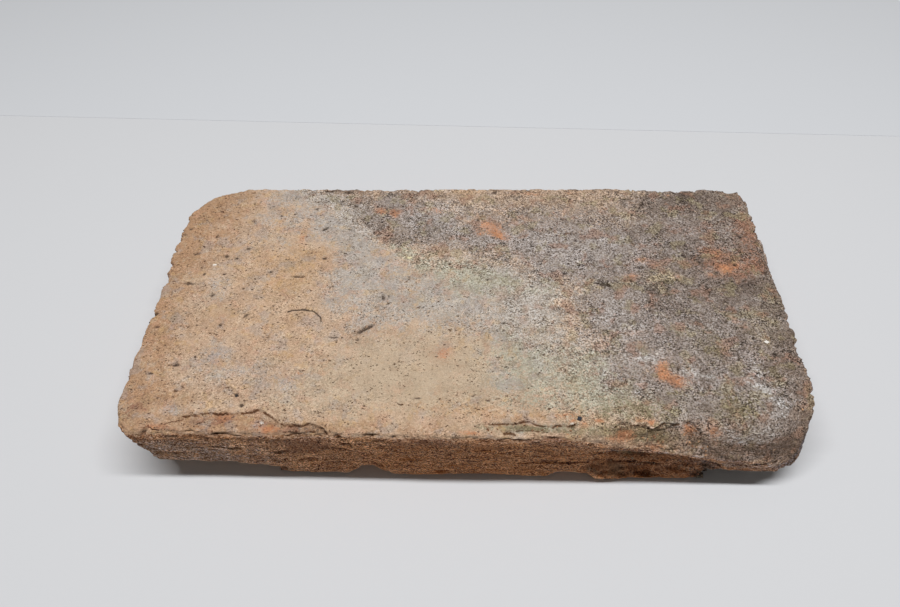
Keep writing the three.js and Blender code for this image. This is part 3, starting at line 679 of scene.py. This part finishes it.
def compute(tree, operation, a, b=0.0, clamp=False):
    return put(tree, "Math", {0: a, 1: b}, operation=operation, use_clamp=clamp).outputs[0]


def times(tree, a, b, clamp=False):
    return compute(tree, "MULTIPLY", a, b, clamp)


def swingOf(tree, value, reach):  # a value around 0.5, as a swing around 0
    return times(tree, compute(tree, "SUBTRACT", value, 0.5), reach)


def noiseOf(tree, place, scale, detail=2.0, roughness=0.5):
    return put(tree, "TexNoise", {"Vector": place, "Scale": scale, "Detail": detail,
                                  "Roughness": roughness}).outputs[0]


def blendColour(tree, factor, a, b, kind="MIX"):
    return put(tree, "Mix", {0: factor, 6: a, 7: b}, data_type="RGBA", blend_type=kind).outputs[2]


def blendValue(tree, factor, a, b):
    return put(tree, "Mix", {0: factor, 2: a, 3: b}, data_type="FLOAT").outputs[0]


def rangeOf(tree, value, low, high, outLow=0.0, outHigh=1.0, curve="SMOOTHSTEP"):
    return put(tree, "MapRange", {"Value": value, "From Min": low, "From Max": high, "To Min": outLow,
                                  "To Max": outHigh}, interpolation_type=curve).outputs[0]


def groupWith(name, inputs, outputs):  # a new group with named sockets
    group = bpy.data.node_groups.new(name, "ShaderNodeTree")
    for label, value in inputs.items():
        kind = "NodeSocketVector" if value is None else "NodeSocketFloat"
        socket = group.interface.new_socket(label, in_out="INPUT", socket_type=kind)
        if value is not None:
            socket.default_value = value
    for label in outputs:
        group.interface.new_socket(label, in_out="OUTPUT", socket_type="NodeSocketFloat")
    return group, group.nodes.new("NodeGroupInput").outputs, group.nodes.new("NodeGroupOutput").inputs


def raggedFilm():  # turns a soft mask into a film with grainy, broken edges
    group, given, result = groupWith("raggedFilm", {"Vector": None, "Amount": 0.5, "Grain": 2.0, "Break": 0.4,
                                                    "Crisp": 0.4}, ["Mask"])
    scale = compute(group, "DIVIDE", 1.0, given["Grain"])
    swing = rangeOf(group, noiseOf(group, given["Vector"], scale, 3.0, 0.75), 0.3, 0.7, -1.0, 1.0, "LINEAR")
    room = times(group, given["Amount"], 3.0, clamp=True)
    torn = times(group, times(group, swing, given["Break"]), room)
    soft = compute(group, "ADD", given["Amount"], torn, clamp=True)
    level = compute(group, "ADD", given["Amount"], times(group, swing, 0.5))
    crisp = times(group, rangeOf(group, level, 0.36, 0.64), room)
    group.links.new(blendValue(group, given["Crisp"], soft, crisp), result["Mask"])
    return group


def scatteredBits():  # separate bits of uneven shape, a share of them present
    group, given, result = groupWith("scatteredBits", {"Vector": None, "Size": 2.0, "Share": 0.15,
                                                       "Fill": 0.4}, ["Mask"])
    scale = compute(group, "DIVIDE", 1.0, given["Size"])
    finer = times(group, scale, 2.2)
    warp = put(group, "TexNoise", {"Vector": given["Vector"], "Scale": finer, "Detail": 1.0})
    swung = put(group, "VectorMath", {0: warp.outputs["Color"], 1: (0.5, 0.5, 0.5)}, operation="SUBTRACT")
    reach = put(group, "VectorMath", {0: swung.outputs[0], "Scale": times(group, given["Size"], 1.3)},
                operation="SCALE")
    place = put(group, "VectorMath", {0: given["Vector"], 1: reach.outputs[0]}, operation="ADD")
    cells = put(group, "TexVoronoi", {"Vector": place.outputs[0], "Scale": scale})
    dice = put(group, "SeparateColor", {0: cells.outputs["Color"]})
    width = times(group, given["Fill"], rangeOf(group, dice.outputs[1], 0.0, 1.0, 0.45, 1.0, "LINEAR"))
    core = rangeOf(group, compute(group, "DIVIDE", cells.outputs["Distance"], width), 0.6, 1.0, 1.0, 0.0)
    present = compute(group, "LESS_THAN", dice.outputs[0], given["Share"])
    group.links.new(times(group, present, core), result["Mask"])
    return group


grainLook = {
    "sandSize": 0.42, "sandSwing": 2.1,  # width of the sand grains, and how much their shades differ
    "mottleSize": 0.72, "mottleSwing": 1.35, "cloudSize": 7.0, "cloudSwing": 0.45,
    "crowdSize": 9.0,  # of the zones with more or fewer pores
    "drawn": 1.5,  # how far the pores are stretched along the brick
    # size, share and fill of the pale grains and of the pores, and how dark these are
    "pale": [(1.2, 0.2, 0.34), (3.4, 0.12, 0.2)],
    "pores": [(0.9, 1.0, 0.37, 0.95), (2.1, 0.7, 0.27, 0.95), (6.0, 0.6, 0.13, 1.0)],
    "shade": 1.025,  # of the plain surface
}


def clayGrain(bits):  # the fired surface: shade around 1, a tone per grain, pores, pale grains and height
    group, given, result = groupWith("clayGrain", {"Vector": None, "Contrast": 0.5, "Pores": 0.5},
                                     ["Shade", "Tone", "Pore", "Pale", "Height"])
    look = grainLook
    place = given["Vector"]
    drawn = put(group, "Mapping", {"Vector": place, "Scale": (1 / look["drawn"], 1, 1)}).outputs[0]

    def scatter(size, share, fill):
        inputs = {"Vector": drawn, "Size": size, "Share": share, "Fill": fill}
        return put(group, "Group", inputs, node_tree=bits).outputs[0]

    sand = put(group, "TexVoronoi", {"Vector": place, "Scale": 1 / look["sandSize"]})
    dice = put(group, "SeparateColor", {0: sand.outputs["Color"]})
    mottle = noiseOf(group, place, 1 / look["mottleSize"], 2.0, 0.75)
    cloud = noiseOf(group, place, 1 / look["cloudSize"])
    crowd = rangeOf(group, noiseOf(group, place, 1 / look["crowdSize"]), 0.38, 0.62, 0.3, 1.6, "LINEAR")
    swing = compute(group, "ADD", swingOf(group, dice.outputs[0], look["sandSwing"]),
                    swingOf(group, mottle, look["mottleSwing"]))
    crowded = compute(group, "ADD", times(group, crowd, 0.4), 0.6)
    swing = times(group, swing, times(group, given["Contrast"], crowded))
    swing = compute(group, "ADD", swing, swingOf(group, cloud, look["cloudSwing"]))
    group.links.new(compute(group, "ADD", swing, look["shade"]), result["Shade"])
    group.links.new(dice.outputs[1], result["Tone"])
    poreShare = times(group, crowd, given["Pores"])
    pore = 0.0
    for size, share, fill, depth in look["pores"]:
        bit = times(group, scatter(size, times(group, poreShare, share), fill), depth)
        pore = compute(group, "MAXIMUM", pore, bit)
    group.links.new(pore, result["Pore"])
    pale = compute(group, "MAXIMUM", *(scatter(*bit) for bit in look["pale"]))
    group.links.new(pale, result["Pale"])
    rounded = times(group, compute(group, "SUBTRACT", 0.5, sand.outputs["Distance"]), 0.2)
    height = compute(group, "ADD", rounded, times(group, mottle, 0.6))
    height = compute(group, "ADD", height, cloud)
    height = compute(group, "SUBTRACT", height, times(group, pore, 0.25))
    group.links.new(compute(group, "ADD", height, times(group, pale, 0.08)), result["Height"])
    return group


shared = {"film": raggedFilm(), "bits": scatteredBits()}
shared["grain"] = clayGrain(shared["bits"])


def useGroup(tree, name, inputs):
    return put(tree, "Group", inputs, node_tree=shared[name]).outputs


def inMillimetres(tree, stretch=(1, 1, 1)):
    place = put(tree, "TexCoord").outputs["Object"]
    return put(tree, "Mapping", {"Vector": place, "Scale": [1 / mm / s for s in stretch]}).outputs[0]


clayLook = {
    "buff": "#c5a487", "sandy": "#cdb196",
    "side": "#d59056", "sideDark": "#965d34", "sideLit": "#a67f5f",  # the last where a side faces up
    "edge": "#b89272", "edgeShare": 0.2,
    "tint": ("#c09674", 0.06),  # of single reddish grains
    # the last colour on the next line is painted shade in the dents and the hair crack
    "paleGrain": "#e2d3c0", "paleShare": 0.32, "hollowShade": "#35251b",
    # the gap tint below is painted shade in the open laps and cracks
    "poreTint": (0.24, 0.16, 0.1, 1), "roughPoreTint": (0.2, 0.16, 0.14, 1), "gapShadeTint": (0.3, 0.2, 0.13, 1),
    # the sunk tint and share below are painted shade in the sunk places; the same tint darkens the strata of
    # the sides
    "shadeAndStrataTint": (0.32, 0.23, 0.17, 1), "sunkShadeShare": 0.7, "strataShare": 0.75, "fineSplits": 0.35,
    "shadePowers": ((0.9, 0.66), (1.0, 0.96), (1.12, 1.4)),  # of red, green and blue, on top and on the sides
    "contrast": (0.12, 0.78), "pores": (0.4, 0.66),  # on the sound and on the weathered part
    "sideContrast": 2.7, "sidePores": 0.9, "dirtAndShadowContrast": 1.2,
    "roughness": 0.95, "relief": 1.0,
}

# Small patches of another hue on the sound and on the weathered part: colour, width of the noise,
# the level at which they start, and strength
soundPatches = {
    "pink": ("#c3957a", 5.5, 0.55, 0.32),
    "yellow": ("#cba673", 5.0, 0.57, 0.36),
    "lilacGrey": ("#a79f9b", 8.0, 0.54, 0.38),
    "cream": ("#d0bea4", 3.4, 0.56, 0.26),
}
roughPatches = {
    "scurf": ("#b5aba2", 7.0, 0.54, 0.24),
    "dusk": ("#6a5b50", 6.0, 0.54, 0.45),
    "khaki": ("#948763", 9.0, 0.54, 0.42),
    "rust": ("#97705a", 9.0, 0.54, 0.5),
    "crumbly": ("#b9a78a", 3.4, 0.58, 0.2),
}


def maskOf(tree, name):  # a number that was painted on the vertices
    return put(tree, "Attribute", attribute_name=name).outputs["Fac"]


def addPatches(tree, base, place, rough, onTop):  # lays the small patches over a colour
    sound = times(tree, rangeOf(tree, rough, 0.0, 0.28, 0.25, 1.0), rangeOf(tree, rough, 0.35, 0.8, 1.0, 0.0))
    for kinds, zone in ((soundPatches, sound), (roughPatches, rough)):
        zone = times(tree, zone, onTop)
        for name, (hexText, width, start, strength) in kinds.items():
            shift = (seedOf(name) * 3, seedOf(name) * 2, 0)
            moved = put(tree, "Mapping", {"Vector": place, "Location": shift}).outputs[0]
            level = noiseOf(tree, moved, 1 / width, 3.0, 0.6)
            amount = rangeOf(tree, level, start, start + 0.09, 0.0, strength)
            base = blendColour(tree, times(tree, amount, zone), base, colour(hexText))
    return base


def gapShade(tree, place):  # painted shade in the open laps and cracks, and in the finer splits of the broken strip before them
    jag = noiseOf(tree, place, 1 / 0.9, 3.0, 0.7)
    gap = compute(tree, "ADD", maskOf(tree, "split"), swingOf(tree, jag, 3.0))
    closed = noiseOf(tree, place, 1 / 3.2)
    line = times(tree, rangeOf(tree, gap, 0.5, 1.4, 1.0, 0.0), rangeOf(tree, closed, 0.42, 0.52, 0.1, 1.0))
    grooves = noiseOf(tree, inMillimetres(tree, (3.2, 1, 1.4)), 1 / 3.0, 3.0, 0.6)
    middle = compute(tree, "ABSOLUTE", compute(tree, "SUBTRACT", grooves, 0.5))
    thin = rangeOf(tree, middle, 0.006, 0.02, 1.0, 0.0)
    thin = times(tree, thin, times(tree, maskOf(tree, "ledge"), clayLook["fineSplits"]))
    return compute(tree, "MAXIMUM", line, thin)


def weatheredClay():
    material = bpy.data.materials.new("weatheredClay")
    material.use_nodes = True
    tree = material.node_tree
    shader = tree.nodes["Principled BSDF"]
    look = clayLook
    place = inMillimetres(tree)

    def mask(name):
        return maskOf(tree, name)

    def film(amount, grain, broken):
        inputs = {"Vector": place, "Amount": amount, "Grain": grain, "Break": broken}
        return useGroup(tree, "film", inputs)["Mask"]

    def darken(base, share, tint):
        return blendColour(tree, share, base, blendColour(tree, 1.0, base, tint, "MULTIPLY"))

    rough = mask("rough")
    side = mask("side")
    calm = rangeOf(tree, mask("orange"), 0.2, 0.7, 1.0, 0.45)
    contrast = times(tree, rangeOf(tree, rough, 0.0, 1.0, *look["contrast"], "LINEAR"), calm)
    # contrast rises on grime and soot, and on the painted shade that these masks also hold
    dirtAndShadow = compute(tree, "MAXIMUM", mask("grime"), mask("soot"))
    contrast = times(tree, contrast, rangeOf(tree, dirtAndShadow, 0.0, 0.8, 1.0, look["dirtAndShadowContrast"]))
    pores = rangeOf(tree, rough, 0.0, 1.0, *look["pores"], "LINEAR")
    top = useGroup(tree, "grain", {"Vector": inMillimetres(tree, (1.05, 0.95, 0.95)), "Contrast": contrast,
                                   "Pores": pores})
    wall = useGroup(tree, "grain", {"Vector": inMillimetres(tree, (1.2, 1.2, 0.4)),
                                    "Contrast": look["sideContrast"], "Pores": look["sidePores"]})
    steep = compute(tree, "SUBTRACT", side, times(tree, mask("lit"), 0.7))
    shade, tone, pore, pale, height = (blendValue(tree, steep, top[i], wall[i]) for i in range(5))
    broad = noiseOf(tree, place, 1 / 13, 5.0, 0.6)
    hues = {name: colour(look[name]) for name in ("buff", "sandy", "side", "sideDark", "sideLit", "edge",
                                                  "paleGrain", "hollowShade")}
    base = blendColour(tree, rangeOf(tree, broad, 0.3, 0.7), hues["buff"], hues["sandy"])
    sideTone = blendColour(tree, rangeOf(tree, broad, 0.35, 0.62), hues["sideDark"], hues["side"])
    sideTone = blendColour(tree, mask("lit"), sideTone, hues["sideLit"])
    base = blendColour(tree, side, base, sideTone)
    for name, stain in stains.items():
        cover = film(mask(name), stain["film"], stain.get("broken", 0.35))
        base = blendColour(tree, cover, base, colour(stain["colour"]))
    onTop = compute(tree, "SUBTRACT", 1.0, side)
    base = addPatches(tree, base, place, rough, onTop)
    base = blendColour(tree, times(tree, film(mask("edge"), 1.5, 0.5), look["edgeShare"]), base, hues["edge"])
    shade = compute(tree, "MAXIMUM", shade, 0.05)
    powers = [blendValue(tree, side, *pair) for pair in look["shadePowers"]]
    shades = [compute(tree, "POWER", shade, power) for power in powers]
    base = darken(base, 1.0, put(tree, "CombineColor", dict(enumerate(shades))).outputs[0])
    hue, strength = look["tint"]
    base = blendColour(tree, rangeOf(tree, tone, 0.78, 0.82, 0.0, strength), base, colour(hue))
    base = blendColour(tree, times(tree, pale, look["paleShare"]), base, hues["paleGrain"])
    # painted shade in all places moved inwards: gouges, laps, dents and pits
    base = darken(base, times(tree, mask("sunk"), look["sunkShadeShare"]), look["shadeAndStrataTint"])
    strata = noiseOf(tree, inMillimetres(tree, (6, 6, 1)), 1 / 1.4, 4.0, 0.65)
    base = darken(base, times(tree, rangeOf(tree, strata, 0.56, 0.66, 0.0, look["strataShare"]), side),
                  look["shadeAndStrataTint"])
    base = darken(base, pore, blendColour(tree, times(tree, rough, onTop), look["poreTint"],
                                          look["roughPoreTint"]))
    # painted shade in the dents and along the hair crack
    base = blendColour(tree, times(tree, film(mask("dark"), 0.7, 0.3), 0.9), base, hues["hollowShade"])
    # painted shade in the open laps and cracks
    base = darken(base, gapShade(tree, place), look["gapShadeTint"])
    tree.links.new(base, shader.inputs["Base Color"])
    shader.inputs["Roughness"].default_value = look["roughness"]
    bump = put(tree, "Bump", {"Height": height, "Strength": 1.0, "Distance": look["relief"] * mm})
    tree.links.new(bump.outputs[0], shader.inputs["Normal"])
    return material


print("stage: clay")
material = weatheredClay()
body.data.materials.clear()
body.data.materials.append(material)
body.data.polygons.foreach_set("use_smooth", [True] * len(body.data.polygons))
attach(body, "root")
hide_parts("brick")


# Loose and half sunk grains, scattered by Geometry Nodes over a copy of the body: where is the mask that
# they follow, count how many lie on a square metre where it is 1, and radius is in millimetres

grains = {
    "paleSand": {"where": "sandy", "count": 9e4, "radius": 0.32, "tones": ("#7d5b41", "#cdb394"), "seed": 3},
    "darkGrit": {"where": "gritty", "count": 6e4, "radius": 0.36, "tones": ("#39302b", "#6d5f56"), "seed": 8},
    "crumbs": {"where": "broken", "count": 6e4, "radius": 0.6, "tones": ("#6e4a33", "#c49a76"), "seed": 5},
}

# Single stones: x, y, radius along, across and up, colour
stones = [
    (44.6, -62.2, 0.9, 0.9, 0.9, "#2c3038"), (-116, 16, 0.9, 0.5, 0.4, "#e8e0d6"),
    (125, -25, 0.9, 0.7, 0.5, "#e9e4dc"), (-26, 21, 1.3, 0.6, 0.4, "#ddd3ab"),
    (79, -31.6, 0.6, 0.5, 0.4, "#d8cfc6"), (-77.6, -65.4, 0.8, 0.6, 0.5, "#d9cdc2"),
    (71.8, -65.2, 0.9, 0.4, 0.35, "#d3b9a4"), (41.6, -64.2, 0.7, 0.4, 0.4, "#e3d6c8"),
    (-90.2, -53.4, 0.7, 0.6, 0.3, "#33302f"),
]


def scatterNodes():  # grains on the faces of the given mesh, as one realized mesh
    group = bpy.data.node_groups.new("scatterGrains", "GeometryNodeTree")
    face = group.interface
    face.new_socket("Geometry", in_out="INPUT", socket_type="NodeSocketGeometry")
    for label, kind in (("Count", "Float"), ("Radius", "Float"), ("Where", "String"), ("Seed", "Int"),
                        ("Material", "Material")):
        face.new_socket(label, in_out="INPUT", socket_type="NodeSocket" + kind)
    face.new_socket("Geometry", in_out="OUTPUT", socket_type="NodeSocketGeometry")

    def add(kind, inputs=None, **settings):
        return addNode(group, kind, inputs, **settings)

    given = add("NodeGroupInput").outputs
    share = add("GeometryNodeInputNamedAttribute", {"Name": given["Where"]}, data_type="FLOAT").outputs[0]
    density = add("ShaderNodeMath", {0: share, 1: given["Count"]}, operation="MULTIPLY").outputs[0]
    points = add("GeometryNodeDistributePointsOnFaces", {"Mesh": given["Geometry"], "Density": density,
                                                         "Seed": given["Seed"]})
    grain = add("GeometryNodeMeshIcoSphere", {"Radius": 1.0, "Subdivisions": 1})
    shape = add("FunctionNodeRandomValue", {"Min": (0.45, 0.45, 0.4), "Max": (1.25, 1.25, 0.9),
                                            "Seed": given["Seed"]}, data_type="FLOAT_VECTOR").outputs[0]
    scale = add("ShaderNodeVectorMath", {0: shape, "Scale": given["Radius"]}, operation="SCALE").outputs[0]
    spin = add("FunctionNodeRandomValue", {"Max": (6.28, 6.28, 6.28), "Seed": 21},
               data_type="FLOAT_VECTOR").outputs[0]
    placed = add("GeometryNodeInstanceOnPoints", {"Points": points.outputs[0], "Instance": grain.outputs[0],
                                                  "Rotation": spin, "Scale": scale})
    tint = add("FunctionNodeRandomValue", {"Seed": 33}, data_type="FLOAT").outputs[1]
    tinted = add("GeometryNodeStoreNamedAttribute", {"Geometry": placed.outputs[0], "Name": "tint",
                                                     "Value": tint}, data_type="FLOAT", domain="INSTANCE")
    realized = add("GeometryNodeRealizeInstances", {"Geometry": tinted.outputs[0]}).outputs[0]
    finished = add("GeometryNodeSetMaterial", {"Geometry": realized, "Material": given["Material"]})
    add("NodeGroupOutput", {"Geometry": finished.outputs[0]})
    return group


def grainMaterial(name, dark, light):
    material = bpy.data.materials.new(name)
    material.use_nodes = True
    tree = material.node_tree
    shader = tree.nodes["Principled BSDF"]
    tint = put(tree, "Attribute", attribute_name="tint").outputs["Fac"]
    tree.links.new(blendColour(tree, tint, colour(dark), colour(light)), shader.inputs["Base Color"])
    shader.inputs["Roughness"].default_value = 0.9
    return material


def scatterGrains(body, name, look, nodes):
    piece = newPiece(name, body.data.copy())
    modifier = piece.modifiers.new("scatter", "NODES")
    modifier.node_group = nodes
    values = {"Count": look["count"], "Radius": look["radius"] * mm, "Where": look["where"],
              "Seed": look["seed"], "Material": grainMaterial(name, *look["tones"])}
    for item in nodes.interface.items_tree:
        if item.in_out == "INPUT" and item.name in values:
            modifier[item.identifier] = values[item.name]
    bakeModifiers(piece)
    points = vertexNumbers(piece.data)
    setVertices(piece.data, np.clip(points, lowCorner + 0.01, highCorner - 0.01))
    print("  ", name, len(piece.data.polygons) // 20, "grains")
    return piece


def placeStones(body):
    points = vertexNumbers(body.data)
    work = bmesh.new()
    materials = []
    for number, (x, y, along, across, up, tone) in enumerate(stones):
        near = np.hypot(points[:, 0] - x, points[:, 1] - y) + 0.5 * (topHeight - points[:, 2])
        height = points[near.argmin(), 2]
        place = Matrix.Translation(Vector((x, y, height + 0.25 * up)) * mm)
        place = place @ Matrix.Diagonal((along, across, up, 1))
        made = bmesh.ops.create_icosphere(work, subdivisions=2, radius=mm, matrix=place)
        for vertex in made["verts"]:
            vertex.co += (vertex.co - place.translation) * 0.3 * math.sin(97 * vertex.index + 31 * number)
            for face in vertex.link_faces:
                face.material_index = number
        materials.append(grainMaterial("stone", tone, tone))
    mesh = bpy.data.meshes.new("stones")
    work.to_mesh(mesh)
    work.free()
    for material in materials:
        mesh.materials.append(material)
    piece = newPiece("stones", mesh)
    setVertices(mesh, np.clip(vertexNumbers(mesh), lowCorner + 0.01, highCorner - 0.01))
    return piece


print("stage: grains")
nodes = scatterNodes()
loose = [scatterGrains(body, name, look, nodes) for name, look in grains.items()]
loose.append(placeStones(body))
for piece in loose:
    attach(piece, "root")


# Floor, light and camera

stageLook = {
    "floorSize": 6.0, "floorColour": "#d3d5d8", "sheetColour": "#d2d5d9",
    "seam": (-0.012, 0.1707, -2.2),  # where a second sheet begins behind the brick, and its turn
    "sheetSize": (3, 2, 0.0004),
    "lampPlace": (0.03, -0.035, 1.2), "lampLength": 1.4, "lampWidth": 0.08, "lampPower": 16.0,
    "lampColour": (0.99, 0.985, 0.985), "roomLight": 0.125, "roomColour": (1.0, 0.95, 0.9, 1),
}


def paleSheet(name, hexText):
    sheet = bpy.context.object
    sheet.name = name
    material = bpy.data.materials.new(name)
    material.use_nodes = True
    shader = material.node_tree.nodes["Principled BSDF"]
    shader.inputs["Base Color"].default_value = colour(hexText)
    shader.inputs["Roughness"].default_value = 0.9
    sheet.data.materials.append(material)
    return sheet


def buildStage():
    look = stageLook
    bpy.ops.mesh.primitive_plane_add(size=look["floorSize"], location=(0, 0, 0))
    paleSheet("floor", look["floorColour"])
    x, y, turn = look["seam"]
    bpy.ops.mesh.primitive_cube_add(size=1, location=(x, y, 0))
    sheet = paleSheet("backSheet", look["sheetColour"])
    sheet.data.transform(Matrix.Translation((0, 0.5, 0)))
    sheet.scale = look["sheetSize"]
    sheet.rotation_euler = (0, 0, math.radians(turn))
    world = bpy.data.worlds.new("softRoom")
    world.use_nodes = True
    world.node_tree.nodes["Background"].inputs["Color"].default_value = look["roomColour"]
    world.node_tree.nodes["Background"].inputs["Strength"].default_value = look["roomLight"]
    bpy.context.scene.world = world
    lamp = bpy.data.lights.new("overhead", "AREA")
    lamp.shape = "RECTANGLE"
    lamp.size = look["lampLength"]
    lamp.size_y = look["lampWidth"]
    lamp.energy = look["lampPower"]
    lamp.color = look["lampColour"]
    holder = bpy.data.objects.new("overhead", lamp)
    holder.location = look["lampPlace"]
    bpy.context.scene.collection.objects.link(holder)


cameraPlace = {"position": (0.00325, -0.19263, 0.26484), "pitchDown": 50.77, "turn": 2.97, "roll": -1.82,
               "lens": 27.04}


def buildCamera():
    camera = bpy.data.cameras.new("view")
    camera.lens = cameraPlace["lens"]
    camera.sensor_width = 36
    camera.clip_start = 0.01
    holder = bpy.data.objects.new("view", camera)
    turn = Matrix.Rotation(math.radians(cameraPlace["turn"]), 4, "Z")
    tip = Matrix.Rotation(math.radians(90 - cameraPlace["pitchDown"]), 4, "X")
    roll = Matrix.Rotation(math.radians(cameraPlace["roll"]), 4, "Z")
    holder.matrix_world = Matrix.Translation(cameraPlace["position"]) @ turn @ tip @ roll
    bpy.context.scene.collection.objects.link(holder)
    bpy.context.scene.camera = holder


print("stage: floor, light and camera")
buildStage()
buildCamera()
bpy.context.scene.view_settings.view_transform = "Standard"
